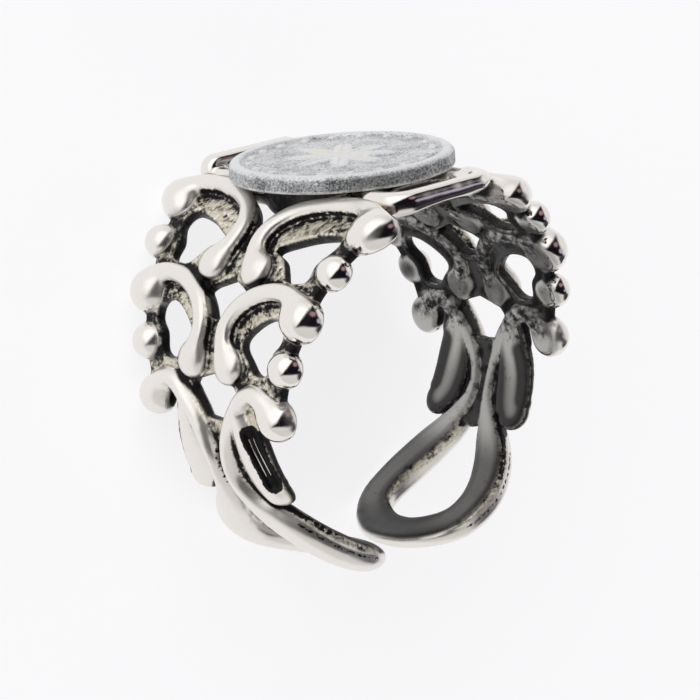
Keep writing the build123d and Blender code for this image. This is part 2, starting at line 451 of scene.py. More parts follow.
class NodeSheet:
    """The node tree of a finish or of the room, with short calls to add nodes and join them."""

    def __init__(self, tree: bpy.types.NodeTree) -> None:
        """Starts from an empty tree."""
        self.tree = tree
        tree.nodes.clear()

    def node(self, kind: str, **settings: object) -> bpy.types.Node:
        """Adds a node.

        Args:
            kind: The node's type.
            **settings: The node's own settings.

        Returns:
            The node.
        """
        made = self.tree.nodes.new(kind)
        for key, value in settings.items():
            setattr(made, key, value)
        return made

    def join(self, source: bpy.types.NodeSocket, target: bpy.types.NodeSocket) -> None:
        """Links two sockets."""
        self.tree.links.new(source, target)

    def feed(self, target: bpy.types.NodeSocket, value: object) -> None:
        """Gives a socket its value.

        Args:
            target: The socket.
            value: A number, a colour or another socket.
        """
        if isinstance(value, bpy.types.NodeSocket):
            self.join(value, target)
        else:
            target.default_value = value

    def mark(self, label: str) -> bpy.types.NodeSocket:
        """One of the mesh's named values."""
        return self.node("ShaderNodeAttribute", attribute_name=label).outputs["Fac"]

    def vector(self, operation: str, a: bpy.types.NodeSocket, b: Vector | tuple = (0, 0, 0)
               ) -> bpy.types.Node:
        """Adds a Vector Math node.

        Args:
            operation: What it does.
            a: The first direction or place, a socket.
            b: The second one, which is the same everywhere.

        Returns:
            The node.
        """
        made = self.node("ShaderNodeVectorMath", operation=operation)
        self.join(a, made.inputs[0])
        made.inputs[1].default_value = b
        return made

    def grain(self, size: float, detail: float = 3.0, rough: float = 0.55) -> bpy.types.NodeSocket:
        """Makes cloudy noise of 0 to 1.

        Args:
            size: How far its lumps are across, in millimetres.
            detail: How many finer layers it has.
            rough: How strong those are.

        Returns:
            The noise.
        """
        place = self.node("ShaderNodeTexCoord").outputs["Object"]
        noise = self.node("ShaderNodeTexNoise")
        self.join(self.vector("MULTIPLY", place, (1 / (size * MM),) * 3).outputs[0], noise.inputs["Vector"])
        for key, number in (("Scale", 1.0), ("Detail", detail), ("Roughness", rough)):
            noise.inputs[key].default_value = number
        return noise.outputs["Fac"]

    def sums(self, operation: str, a: object, b: object = 0.0, c: object = 0.0) -> bpy.types.NodeSocket:
        """Works out a Math node.

        Args:
            operation: What it does.
            a: The first value, a number or a socket.
            b: The second value.
            c: The third value.

        Returns:
            The result.
        """
        made = self.node("ShaderNodeMath", operation=operation)
        for socket, value in zip(made.inputs, (a, b, c)):
            self.feed(socket, value)
        return made.outputs[0]

    def times(self, a: object, b: object) -> bpy.types.NodeSocket:
        """Two values multiplied."""
        return self.sums("MULTIPLY", a, b)

    def plus(self, value: object, share: object, base: object) -> bpy.types.NodeSocket:
        """A share of a value, added to a base."""
        return self.sums("MULTIPLY_ADD", value, share, base)

    def rest(self, value: object) -> bpy.types.NodeSocket:
        """What a value leaves of 1."""
        return self.sums("SUBTRACT", 1.0, value)

    def swing(self, noise: object) -> bpy.types.NodeSocket:
        """Noise of 0 to 1 as a swing about 0."""
        return self.sums("SUBTRACT", noise, 0.5)

    def ramp(self, value: object, low: float, high: float, start: float = 0.0, end: float = 1.0
             ) -> bpy.types.NodeSocket:
        """Turns a value into a smooth ramp.

        Args:
            value: The value.
            low: Where the ramp begins.
            high: Where it ends.
            start: What it gives at low.
            end: What it gives at high.

        Returns:
            The ramp.
        """
        made = self.node("ShaderNodeMapRange", interpolation_type="SMOOTHSTEP")
        for key, number in (("From Min", low), ("From Max", high), ("To Min", start), ("To Max", end)):
            made.inputs[key].default_value = number
        self.feed(made.inputs["Value"], value)
        return made.outputs["Result"]

    def blend(self, share: object, a: object, b: object) -> bpy.types.NodeSocket:
        """Mixes two colours.

        Args:
            share: How much of the second colour there is.
            a: The first colour.
            b: The second colour.

        Returns:
            The mixed colour.
        """
        made = self.node("ShaderNodeMix", data_type="RGBA")
        for socket, value in ((0, share), (6, a), (7, b)):
            self.feed(made.inputs[socket], value)
        return made.outputs[2]

    def toward(self, direction: bpy.types.NodeSocket, axis: Vector) -> bpy.types.NodeSocket:
        """How much a direction goes along an axis, from -1 to 1."""
        return self.vector("DOT_PRODUCT", direction, axis.normalized()).outputs["Value"]

    def bump(self, height: object, depth: float, under: object = None) -> bpy.types.NodeSocket:
        """Raises surface relief.

        Args:
            height: How high the surface stands, from 0 to 1.
            depth: What that range stands for, in millimetres.
            under: Relief that this one lies on, or None.

        Returns:
            The surface's new direction.
        """
        made = self.node("ShaderNodeBump")
        made.inputs["Strength"].default_value = 1.0
        made.inputs["Distance"].default_value = depth * MM
        self.feed(made.inputs["Height"], height)
        if under is not None:
            self.join(under, made.inputs["Normal"])
        return made.outputs["Normal"]


def new_finish(name: str) -> tuple[bpy.types.Material, NodeSheet, bpy.types.NodeInputs]:
    """Makes a material with one shader in it.

    Args:
        name: The material's name.

    Returns:
        The material, its node sheet, and the shader's sockets.
    """
    material = bpy.data.materials.new(name)
    material.use_nodes = True
    sheet = NodeSheet(material.node_tree)
    shader = sheet.node("ShaderNodeBsdfPrincipled")
    out = sheet.node("ShaderNodeOutputMaterial")
    sheet.join(shader.outputs[0], out.inputs["Surface"])
    return material, sheet, shader.inputs


@dataclass(frozen=True)
class OxidisedSilver:
    """Cast silver, polished where it stands proud and blackened in its recesses.

    Each grain is its size in millimetres, its detail and its roughness. Each pair of limits is where
    something begins and where it is complete, and each share says how much of a grain or mark counts.
    """

    bright: tuple = (0.84, 0.81, 0.765, 1)
    beige: tuple = (0.74, 0.69, 0.57, 1)
    # Pale colour of the painted glints flecked over the sheet's patina.
    painted_fleck_glint: tuple = (0.97, 0.94, 0.88, 1)
    black: tuple = (0.018, 0.017, 0.018, 1)
    # Near black for the sheet's sawn walls, also the painted shade at the edges of the finger side's strands.
    side: tuple = (0.05, 0.048, 0.047, 1)
    # The lit tone painted in the middle of the finger side's strands.
    inside: tuple = (0.48, 0.47, 0.445, 1)
    polish: float = 0.07
    rubbed: float = 0.25
    satin: float = 0.33
    dull: float = 0.5
    haze: float = 0.08
    least_metal: float = 0.9
    pit_depth: float = 0.16
    wave_depth: float = 0.05
    pit_grain: tuple = (0.42, 5.0, 0.62)
    fine_grain: tuple = (0.2, 4.0, 0.6)
    patch_grain: tuple = (0.9, 3.0)
    cloud_grain: tuple = (1.2, 2.0)
    speckle_grain: tuple = (0.22, 4.0)
    haze_grain: tuple = (0.6, 3.0)
    wave_grain: tuple = (1.3, 1.0)
    cast_limits: tuple = (0.2, 0.75)
    polish_limits: tuple = (0.82, 0.98)
    open_limits: tuple = (0.15, 0.8)
    mottle_limits: tuple = (0.82, 0.97)
    painted_fleck_limits: tuple = (0.56, 0.66)
    strand_light_limits: tuple = (0.15, 0.85)
    crease_limits: tuple = (0.42, 0.90)
    speckle_limits: tuple = (0.48, 0.60)
    patch_share: float = 0.5
    pit_share: float = 0.45
    fine_share: float = 0.5
    open_share: float = 0.22
    cloud_share: float = 0.30
    break_share: float = 1.6
    soil_share: float = 0.55
    speckle_share: float = 1.1

    def build(self) -> bpy.types.Material:
        """Makes the material.

        Returns:
            The finished material, which reads the marks room, wide_room, gloss, wall, inner, stain and heart.
        """
        material, sheet, shader = new_finish("oxidised_silver")
        gloss, inner, wide = sheet.mark("gloss"), sheet.mark("inner"), sheet.mark("wide_room")
        pits, fine = sheet.grain(*self.pit_grain), sheet.grain(*self.fine_grain)
        cast = sheet.rest(sheet.ramp(gloss, *self.cast_limits))

        shade = sheet.times(pits, self.pit_share)
        shade = sheet.plus(sheet.grain(*self.patch_grain), self.patch_share, shade)
        shade = sheet.plus(fine, self.fine_share, shade)
        shade = sheet.plus(sheet.ramp(wide, *self.open_limits), self.open_share, shade)
        mottle = sheet.ramp(shade, *self.mottle_limits)
        patina = sheet.blend(mottle, self.black, self.beige)
        # Painted glints: pale flecks over the lighter parts of the patina.
        patina = sheet.blend(sheet.times(mottle, sheet.ramp(fine, *self.painted_fleck_limits)), patina, self.painted_fleck_glint)
        patina = sheet.blend(sheet.mark("wall"), patina, self.side)
        # Painted light and shade on the finger side: each strand is painted its lit tone in the middle and
        # near black at its edges.
        strand = sheet.blend(sheet.ramp(sheet.mark("strand_painted_light"), *self.strand_light_limits), self.side, self.inside)
        base = sheet.blend(inner, sheet.blend(cast, self.bright, patina), strand)

        wander = sheet.plus(sheet.swing(sheet.grain(*self.cloud_grain)), self.cloud_share, sheet.mark("room"))
        wander = sheet.plus(sheet.times(sheet.swing(pits), cast), self.break_share, wander)
        soiled = sheet.plus(sheet.rest(wide), self.soil_share, sheet.mark("stain"))
        speckle = sheet.plus(sheet.swing(sheet.grain(*self.speckle_grain)), self.speckle_share, soiled)
        crease = sheet.sums("MAXIMUM", sheet.ramp(wander, *self.crease_limits, 1.0, 0.0),
                            sheet.ramp(speckle, *self.speckle_limits))
        sheet.join(sheet.blend(crease, base, self.black), shader["Base Color"])

        sheet.join(sheet.ramp(gloss, *self.polish_limits, self.least_metal, 1.0), shader["Metallic"])
        rough = sheet.ramp(gloss, *self.polish_limits, self.rubbed, self.polish)
        rough = sheet.plus(cast, self.satin - self.rubbed, rough)
        rough = sheet.plus(crease, self.dull - self.satin, rough)
        sheet.join(sheet.plus(sheet.grain(*self.haze_grain), self.haze, rough), shader["Roughness"])
        relief = sheet.times(pits, sheet.times(cast, sheet.rest(inner)))
        soft = sheet.bump(sheet.grain(*self.wave_grain), self.wave_depth)
        sheet.join(sheet.bump(relief, self.pit_depth, under=soft), shader["Normal"])
        return material


@dataclass(frozen=True)
class GreyDiscMetal:
    """Dull blue-grey metal with a sandy grain, with a painted highlight on its raised relief and bottom lip,
    painted warm glints on the relief and painted shade on its side.
    """

    light: tuple = (0.79, 0.80, 0.81, 1)
    dark: tuple = (0.10, 0.105, 0.11, 1)
    # Colour of the painted warm glints on the raised relief.
    painted_warm_glint: tuple = (0.80, 0.76, 0.64, 1)
    metal: float = 0.85
    rough: tuple = (0.62, 0.36)
    sand_depth: float = 0.05
    sand_grain: tuple = (0.12, 4.0, 0.7)
    cloud_grain: tuple = (1.6, 2.0)
    cloud_share: float = 0.4
    # How much painted highlight the raised relief gets, and how much painted shade the side gets.
    relief_highlight_share: float = 0.25
    side_painted_shade: float = -0.12
    light_limits: tuple = (0.36, 0.88)
    glint_cloud_limits: tuple = (0.42, 0.60)
    glint_relief_limits: tuple = (0.75, 0.95)

    def build(self) -> bpy.types.Material:
        """Makes the material.

        Returns:
            The finished material, which reads the marks proud and side.
        """
        material, sheet, shader = new_finish("grey_disc_metal")
        sand, clouds = sheet.grain(*self.sand_grain), sheet.grain(*self.cloud_grain)
        proud = sheet.mark("proud")
        # Painted highlight on the raised relief and the bottom lip, and painted shade on the disc's side.
        spread = sheet.plus(proud, self.relief_highlight_share, sheet.plus(clouds, self.cloud_share, sand))
        spread = sheet.plus(sheet.mark("side"), self.side_painted_shade, spread)
        light = sheet.ramp(spread, *self.light_limits)
        # Painted warm glints in cloudy patches on the raised relief.
        warm_glint_mask = sheet.times(sheet.ramp(clouds, *self.glint_cloud_limits), sheet.ramp(proud, *self.glint_relief_limits))
        grey = sheet.blend(light, self.dark, self.light)
        sheet.join(sheet.blend(warm_glint_mask, grey, self.painted_warm_glint), shader["Base Color"])
        shader["Metallic"].default_value = self.metal
        sheet.join(sheet.ramp(light, 0.0, 1.0, *self.rough), shader["Roughness"])
        sheet.join(sheet.bump(sand, self.sand_depth), shader["Normal"])
        return material


@dataclass(frozen=True)
class PaleFloor:
    """A plain pale sheet, lit a little from below as on a light table."""

    colour: tuple = (0.25, 0.25, 0.255, 1)
    glow: tuple = (0.80, 0.795, 0.805, 1)
    rough: float = 0.9

    def build(self) -> bpy.types.Material:
        """Makes the material.

        Returns:
            The finished material.
        """
        material, _, shader = new_finish("pale_floor")
        for key, value in (("Base Color", self.colour), ("Roughness", self.rough),
                           ("Specular IOR Level", 0.0), ("Emission Color", self.glow),
                           ("Emission Strength", 1.0)):
            shader[key].default_value = value
        return material


class Unrolled:
    """The band's grid laid flat: across the band, along its circumference, and out from the finger."""

    def __init__(self, reference: float, across: float, turns: tuple[float, float], outs: tuple[float, float],
                 step: float) -> None:
        """Lays out the grid of one half across the band.

        Args:
            reference: Radius at which the circumference is measured.
            across: How far the grid reaches from the middle of the band.
            turns: First and last angle from the disc, in degrees.
            outs: Lowest and highest distance from the finger's centre line.
            step: Distance between grid points.
        """
        self.reference = reference
        low = (0.0, reference * math.radians(turns[0]), outs[0])
        high = (across, reference * math.radians(turns[1]), outs[1])
        self.metal = MetalField(low, high, step)
        self.u, self.w, self.r = np.meshgrid(*self.metal.lines, indexing="ij", sparse=True)

    def solid(self, places: np.ndarray) -> np.ndarray:
        """Upright places of points given in grid steps."""
        p = self.metal.low + places * self.metal.step
        return self.roll(p[:, 0], p[:, 1], p[:, 2])

    def roll(self, u: np.ndarray, w: np.ndarray, r: np.ndarray) -> np.ndarray:
        """Upright places of points that are given flat."""
        turn = w / self.reference
        return np.stack([r * np.sin(turn), -r * np.cos(turn), u], axis=-1)

    def line_distance(self, rows: np.ndarray) -> tuple[np.ndarray, np.ndarray]:
        """Nearest distance from each column of the grid to a line, and what the line holds there."""
        return line_gap(self.u[..., 0], self.w[..., 0], rows)

    def outline_distance(self, points: np.ndarray) -> np.ndarray:
        """Measures each column of the grid against a closed outline.

        Args:
            points: The outline's corners on the flat grid.

        Returns:
            The distance to the outline, negative inside.
        """
        u, w = self.u[..., 0], self.w[..., 0]
        closed = np.concatenate([points, points[:1]])
        gap, _ = self.line_distance(closed)
        within = np.zeros(gap.shape, bool)
        for a, b in zip(closed[:-1], closed[1:]):
            if a[1] == b[1]:
                continue
            crossing = (a[1] > w) != (b[1] > w)
            within ^= crossing & (u < (b[0] - a[0]) * (w - a[1]) / (b[1] - a[1]) + a[0])
        return np.where(within, -gap, gap)


@dataclass
class ScrollSide:
    """One side of the band: three pairs of scrolls with balls, the pierced sheet, tongues and the open loop.

    Sizes are in millimetres, and heights are measured from the bore. Each pair of limits is where a mark of
    the skin begins and where it is complete.
    """

    bore: float = 8.75
    spring: float = 1.1
    bead_seat: float = 0.6
    web_wall: float = 0.8
    web_least: float = 0.5
    web_edge: float = 0.12
    inner_dish: float = 0.3
    dish_rim: tuple = (0.1, 0.6)
    dish_edge: float = 0.1
    rail_height: float = 1.5
    rail_width: float = 0.9
    rail_edge: float = 0.28
    rail_edge_share: float = 0.9
    rail_dome: float = 0.08
    shank_width: float = 2.0
    shank_dome: float = 0.45
    half_band: float = 8.73
    top_ball: float = 1.29
    middle_ball: float = 1.17
    bottom_ball: float = 1.05
    drop_length: float = 1.42
    drop_width: float = 1.06
    drop_height: float = 1.02
    upper_bead: float = 0.93
    lower_bead: float = 0.95
    button_radius: float = 0.92
    button_height: float = 1.5
    button_dome: float = 0.25
    tongue_height: float = 1.45
    tongue_width: float = 2.6
    tongue_dome: float = 0.75
    groove_drop: float = 0.25
    groove_lean: float = 45.0
    groove_radius: float = 0.32
    groove_edge: float = 0.10
    groove_soil: float = 0.38
    ridge_radius: float = 0.055
    ridge_spread: float = 21.0
    ridge_sides: int = 8
    ridge_trim: int = 4
    ridge_taper: float = 0.15
    fillet: float = 0.12
    bead_flow: float = 0.10
    ball_flow: float = 0.45
    bore_edge: float = 0.45
    rail_gloss: float = 0.8
    far_gloss: float = 0.89
    rubbed_limits: tuple = (-0.15, 0.40)
    crested_limits: tuple = (0.15, 0.55)
    seam_radius: float = 9.95
    seam_width: float = 0.10
    seam_start: tuple = (129.0, 133.0)
    seam_end: tuple = (166.0, 160.0)
    seam_stain: float = 0.72
    streak_foot: tuple = (0.50, 0.62)
    streak_top: tuple = (1.0, 0.85)
    streak_start: tuple = (121.0, 125.0)
    streak_end: tuple = (150.0, 140.0)
    streak_stain: float = 0.58
    flank_limits: tuple = (0.25, 0.6)
    wall_facing: tuple = (0.75, 0.35)
    wall_height: tuple = (0.95, 0.75)
    wall_end: float = 128.0
    inner_facing: tuple = (0.3, 0.8)
    inner_height: tuple = (0.6, 0.35)
    # Painted shade on the finger side's strands: how deep the strand's middle is sought, how thick a strand
    # counts as full, how much darker the loops are painted, and over which turns.
    heart_depth: float = 0.75
    heart_wall: float = 0.55
    loop_painted_shade: float = 0.62
    loop_turns: tuple = (118.0, 140.0)
    neck_reach: float = 0.9
    neck_core: float = 0.3
    neck_dusk: float = 0.5
    grid_across: float = 0.85
    grid_turns: tuple = (16.0, 181.0)
    grid_height: float = 1.5
    step: float = 0.1
    parts: int = 10

    top_scroll: tuple = way(
        (0.182, 50.0, 1.10), (0.130, 46.0, 1.10), (0.103, 41.0, 1.00), (0.115, 36.5, 0.95),
        (0.155, 32.5, 0.95), (0.220, 29.0, 0.95), (0.325, 26.0, 0.95), (0.455, 24.0, 0.95),
        (0.590, 22.9, 1.00), (0.710, 23.6, 1.15), (0.795, 26.0, 1.35), (0.836, 29.8, 1.50),
    )
    middle_scroll: tuple = way(
        (0.162, 79.8, 1.10), (0.125, 75.5, 1.10), (0.105, 70.5, 1.00), (0.130, 65.8, 0.95),
        (0.200, 61.2, 0.95), (0.310, 57.7, 0.95), (0.430, 56.0, 0.95), (0.535, 56.2, 1.05),
        (0.617, 58.3, 1.30), (0.663, 62.0, 1.45),
    )
    bottom_scroll: tuple = way(
        (0.530, 93.4, 0.70), (0.455, 88.6, 0.60), (0.370, 86.6, 0.52), (0.285, 88.4, 0.52),
        (0.215, 92.5, 0.52), (0.155, 97.0, 0.52), (0.098, 103.0, 0.46, 0.10), (0.066, 110.0, 0.42, 0.20),
        (0.074, 116.5, 0.46, 0.25), (0.118, 122.5, 0.60, 0.30), (0.188, 129.0, 0.82, 0.38),
        (0.280, 136.5, 0.96, 0.46), (0.350, 144.5, 0.98, 0.52), (0.380, 152.0, 0.95, 0.55),
        (0.370, 159.0, 0.95, 0.55), (0.310, 164.2, 0.95, 0.55), (0.200, 168.4, 0.98, 0.55),
        (0.080, 170.9, 1.00, 0.55), (-0.040, 171.2, 1.00, 0.55),
    )
    leaf: tuple = way(
        (0.230, 91.0, 0.35), (0.238, 96.0, 0.64), (0.252, 101.0, 0.84), (0.265, 106.0, 0.96),
        (0.275, 111.0, 1.00), (0.288, 115.5, 0.98), (0.308, 118.4, 0.93), (0.320, 120.0, 0.80),
    )
    groove: tuple = spots((0.320, 99.0), (0.346, 103.5), (0.366, 108.0), (0.382, 115.0))
    swells: tuple = (
        (90, 0), (97, 0.11), (104, 0.27), (112, 0.36), (122, 0.38), (134, 0.39), (146, 0.40), (153, 0.44),
        (158, 0.51), (163, 0.65), (168, 0.82), (174, 0.95), (180, 1),
    )
    top_sheet: tuple = spots(
        (-0.1, 36.0), (0.085, 35.0), (0.14, 30.5), (0.333, 25.0), (0.592, 21.8), (0.77, 24.0), (0.835, 31.0),
        (0.745, 47.0), (0.70, 57.0), (0.445, 55.0), (0.32, 56.7), (0.21, 60.0), (0.145, 57.0), (-0.1, 51.0),
    )
    middle_sheet: tuple = spots(
        (-0.1, 68.0), (0.10, 66.5), (0.205, 60.3), (0.445, 54.9), (0.645, 58.0), (0.70, 62.5), (0.62, 76.5),
        (0.57, 88.0), (0.37, 85.8), (0.275, 87.5), (0.22, 90.0), (0.165, 86.0), (-0.1, 81.5),
    )
    bottom_sheet: tuple = spots(
        (-0.1, 98.0), (0.12, 97.0), (0.20, 91.5), (0.33, 88.5), (0.37, 97.0), (0.30, 113.0), (0.20, 121.0),
        (0.10, 126.0), (-0.1, 129.0),
    )
    top_hole: tuple = spots(
        (0.225, 42.0), (0.33, 38.5), (0.48, 35.0), (0.64, 33.5), (0.67, 38.0), (0.60, 44.5), (0.585, 50.5),
        (0.44, 51.5), (0.37, 47.5), (0.32, 44.5),
    )
    middle_hole: tuple = spots(
        (0.225, 72.5), (0.31, 67.0), (0.42, 63.8), (0.53, 64.5), (0.55, 69.5), (0.49, 74.0), (0.46, 80.0),
        (0.36, 81.0), (0.29, 77.5),
    )
    buttons: tuple = spots((0.187, 50.4), (0.160, 79.8))

    def __post_init__(self) -> None:
        """Lays out the flat grid."""
        self.band = self.grid()

    @property
    def seat(self) -> float:
        """Radius at which the balls sit and the circumference is measured."""
        return self.bore + self.bead_seat

    @property
    def trough(self) -> float:
        """Radius at which the middle of the groove's round trough lies."""
        return self.bore + self.tongue_height - self.groove_drop

    def beads(self) -> tuple[Ball, ...]:
        """Lists the single beads.

        Returns:
            The two along one edge.
        """
        return (
            Ball(0.758, 46.1, self.upper_bead, self.bead_flow),
            Ball(0.603, 77.5, self.lower_bead, self.bead_flow),
        )

    def balls(self) -> tuple[Ball, ...]:
        """Lists the balls.

        Returns:
            The five along one edge, first the scrolls' own and then the single beads between them.
        """
        return (
            Ball(0.836, 30.1, self.top_ball, self.ball_flow, self.drop_length),
            Ball(0.663, 62.3, self.middle_ball, self.ball_flow),
            Ball(0.530, 93.7, self.bottom_ball, self.ball_flow),
        ) + self.beads()

    def grid(self) -> Unrolled:
        """Lays out the flat grid.

        Returns:
            The grid that holds one half across the band.
        """
        widest = self.half_band * self.grid_across + self.top_ball
        outs = (self.bore - 2 * self.step, self.seat + self.grid_height * self.top_ball)
        return Unrolled(self.seat, widest, self.grid_turns, outs, self.step)

    def flat(self, spot: Spot | Station | Ball) -> tuple[float, float]:
        """A place on the flat grid, across and along, in millimetres."""
        return spot.across * self.half_band, self.seat * math.radians(spot.turn)

    def hole_radius(self, w: np.ndarray) -> np.ndarray:
        """Radius of the finger hole along the band, which widens towards the open back."""
        rows = flowing(np.array(self.swells, float), False, self.parts)
        return self.bore + self.spring * np.interp(w, self.seat * np.radians(rows[:, 0]), rows[:, 1])

    def rail(self, stations: tuple, width: float, height: float, dome: float) -> np.ndarray:
        """Distance to a raised rail.

        Args:
            stations: The rail's way.
            width: Its full width.
            height: Its top above the bore.
            dome: How much its top is domed.

        Returns:
            The distance field of the rail.
        """
        rows = np.array([(*self.flat(s), s.wide * width / 2, s.rise) for s in stations])
        gap, held = self.band.line_distance(flowing(rows, False, self.parts))
        half, rise = held[..., 0], held[..., 1]
        top = self.bore + height + rise - dome * np.clip(gap / half, 0, 1) ** 2
        edge = np.minimum(self.rail_edge, half * self.rail_edge_share)[..., None]
        return slab((gap - half)[..., None], self.band.r - top[..., None], edge)

    def sheet(self) -> np.ndarray:
        """Distance to the pierced sheet behind the scrolls.

        Returns:
            The distance field of the sheet.
        """
        band, outline = self.band, None
        for corners in (self.top_sheet, self.middle_sheet, self.bottom_sheet):
            one = band.outline_distance(np.array([self.flat(c) for c in corners]))
            outline = one if outline is None else melt(outline, one, self.fillet)
        for corners in (self.top_hole, self.middle_hole):
            points = flowing(np.array([self.flat(c) for c in corners]), True, self.parts)
            outline = carve(outline, -band.outline_distance(points), self.fillet)
        inner = self.hole_radius(band.w)
        top = np.maximum(self.bore + self.web_wall, inner + self.web_least)
        rim = smooth_step(*self.dish_rim, -outline)[..., None]
        dish = self.inner_dish * rim * (top - inner) / self.web_wall
        plain = slab(outline[..., None], band.r - top, self.web_edge)
        return carve(plain, inner + dish - band.r, self.dish_edge)

    def button(self, spot: Spot) -> np.ndarray:
        """Distance to the round, domed end of a scroll.

        Args:
            spot: Its middle.

        Returns:
            The distance field of the button.
        """
        u, w = self.flat(spot)
        gap = np.hypot(self.band.u - u, self.band.w - w)
        top = self.bore + self.button_height - self.button_dome * np.clip(gap / self.button_radius, 0, 1) ** 2
        return slab(gap - self.button_radius, self.band.r - top, self.rail_edge)

    def ball(self, ball: Ball) -> np.ndarray:
        """Distance to an edge ball, or to a drop drawn out on the slant towards the edge and the disc.

        Args:
            ball: The ball or drop.

        Returns:
            Its distance field.
        """
        band = self.band
        centre = band.roll(*np.array([*self.flat(ball), self.seat]))
        away = band.roll(*np.broadcast_arrays(band.u, band.w, band.r)) - centre
        if not ball.long:
            return np.linalg.norm(away, axis=-1) - ball.radius
        turn = math.radians(ball.turn)
        onward = np.array([math.cos(turn), math.sin(turn), 0])
        outward = np.array([math.sin(turn), -math.cos(turn), 0])
        edgeward = np.array([0, 0, 1])
        halves = ((edgeward - onward, ball.long), (edgeward + onward, self.drop_width),
                  (outward, self.drop_height))
        parts = [away @ (axis / np.linalg.norm(axis)) / half for axis, half in halves]
        return (np.sqrt(sum(part ** 2 for part in parts)) - 1) * self.drop_height

    def groove_line(self) -> np.ndarray:
        """The way of the groove along the tongue's outer flank, on the flat grid."""
        return flowing(np.array([self.flat(spot) for spot in self.groove]), False, self.parts)

    def groove_gap(self, u: np.ndarray, w: np.ndarray, r: np.ndarray) -> np.ndarray:
        """Distance to the groove's round trough.

        Args:
            u: Places across the band.
            w: Places along its circumference.
            r: Their distances from the finger's centre line, which may have one more axis.

        Returns:
            The distance of each place, negative in the trough.
        """
        gap, _ = line_gap(u, w, self.groove_line())
        gap = gap.reshape(gap.shape + (1,) * (np.ndim(r) - gap.ndim))
        return np.hypot(gap, r - self.trough) - self.groove_radius

    def fill(self) -> None:
        """Melts all the forms of one half across the band into the grid."""
        band = self.band
        metal, raised = band.metal, self.grid().metal
        height = band.r - self.bore - self.web_wall
        rubbed = self.rail_gloss * smooth_step(*self.rubbed_limits, height)
        crested = self.rail_gloss * smooth_step(*self.crested_limits, height)
        metal.add(self.sheet(), self.fillet, 0.0)
        leaf = self.rail(self.leaf, self.tongue_width, self.tongue_height, self.tongue_dome)
        metal.add(leaf, self.fillet, rubbed)
        metal.cut(self.groove_gap(band.u[..., 0], band.w[..., 0], band.r), self.groove_edge)
        for stations, width, dome, gloss in ((self.top_scroll, self.rail_width, self.rail_dome, crested),
                                             (self.middle_scroll, self.rail_width, self.rail_dome, crested),
                                             (self.bottom_scroll, self.shank_width, self.shank_dome, rubbed)):
            raised.add(self.rail(stations, width, self.rail_height, dome), self.fillet, gloss)
        for spot in self.buttons:
            raised.add(self.button(spot), self.ball_flow, self.rail_gloss)
        for ball in self.balls():
            raised.add(self.ball(ball), ball.flow)
        metal.add(raised.value, self.fillet, raised.gloss)
        metal.cut(band.r - self.hole_radius(band.w), self.bore_edge)

    def mirror(self) -> None:
        """Adds the other half across the band, a mirror image that is a little less polished."""
        metal = self.band.metal
        metal.value = np.concatenate([metal.value[:0:-1], metal.value])
        metal.gloss = np.concatenate([metal.gloss[:0:-1] * self.far_gloss, metal.gloss])
        metal.low[0] = -metal.lines[0][-1]

    def marks(self, points: np.ndarray) -> dict[str, np.ndarray]:
        """Works out what the finish reads at skin points.

        Args:
            points: One row for each point, in grid steps.

        Returns:
            room and wide_room: how open the skin is close by and further off.
            gloss: 0 on the sheet, 1 on what stands proud of it.
            wall: 1 on the sawn sides of the sheet.
            inner: 1 on the side of the finger.
            stain: how black the skin is in the tongue's groove and along the loop's flank.
            strand_painted_light: painted light and shade on the finger side's strands, 1 in the middle of a
                strand, towards 0 at its edges and lower over the loops.
        """
        metal = self.band.metal
        slope, gloss = metal.slope(points), metal.read(points, metal.gloss)
        deep = -metal.read(points - self.heart_depth / metal.step * slope) / self.heart_wall
        u, w, r = (metal.low + points * metal.step).T
        flank = smooth_step(*self.flank_limits, slope[:, 0] * np.sign(u))
        u, height, turn = np.abs(u), r - self.bore, np.degrees(w / self.seat)
        groove = smooth_step(self.groove_soil, 0.0, self.groove_gap(u, w, r))
        seam = (np.exp(-((r - self.seam_radius) / self.seam_width) ** 2)
                * smooth_step(*self.seam_start, turn) * smooth_step(*self.seam_end, turn))
        streak = (smooth_step(*self.streak_foot, height) * smooth_step(*self.streak_top, height)
                  * smooth_step(*self.streak_start, turn) * smooth_step(*self.streak_end, turn))
        stripes = np.maximum(self.seam_stain * seam, self.streak_stain * streak)
        neck = np.zeros(len(points))
        for bead in self.beads():
            across, along = self.flat(bead)
            away = np.hypot(np.hypot(u - across, w - along), r - self.seat) - bead.radius
            neck = np.maximum(neck, smooth_step(self.neck_reach, self.neck_core * self.neck_reach, away))
        found = metal.openness(points)
        found["room"] *= 1 - self.neck_dusk * neck * (1 - gloss)
        return found | {
            "gloss": gloss,
            "wall": (smooth_step(*self.wall_facing, np.abs(slope[:, 2]))
                     * smooth_step(*self.wall_height, height) * (turn < self.wall_end)),
            "inner": (smooth_step(*self.inner_facing, -slope[:, 2])
                      * smooth_step(*self.inner_height, r - self.hole_radius(w))),
            "stain": np.maximum(groove, flank * stripes),
            # Painted shade: 1 in a strand's middle, less towards its edges, and lower over the loops.
            "strand_painted_light": np.clip(deep, 0, 1) * (1 - self.loop_painted_shade * smooth_step(*self.loop_turns, turn)),
        }

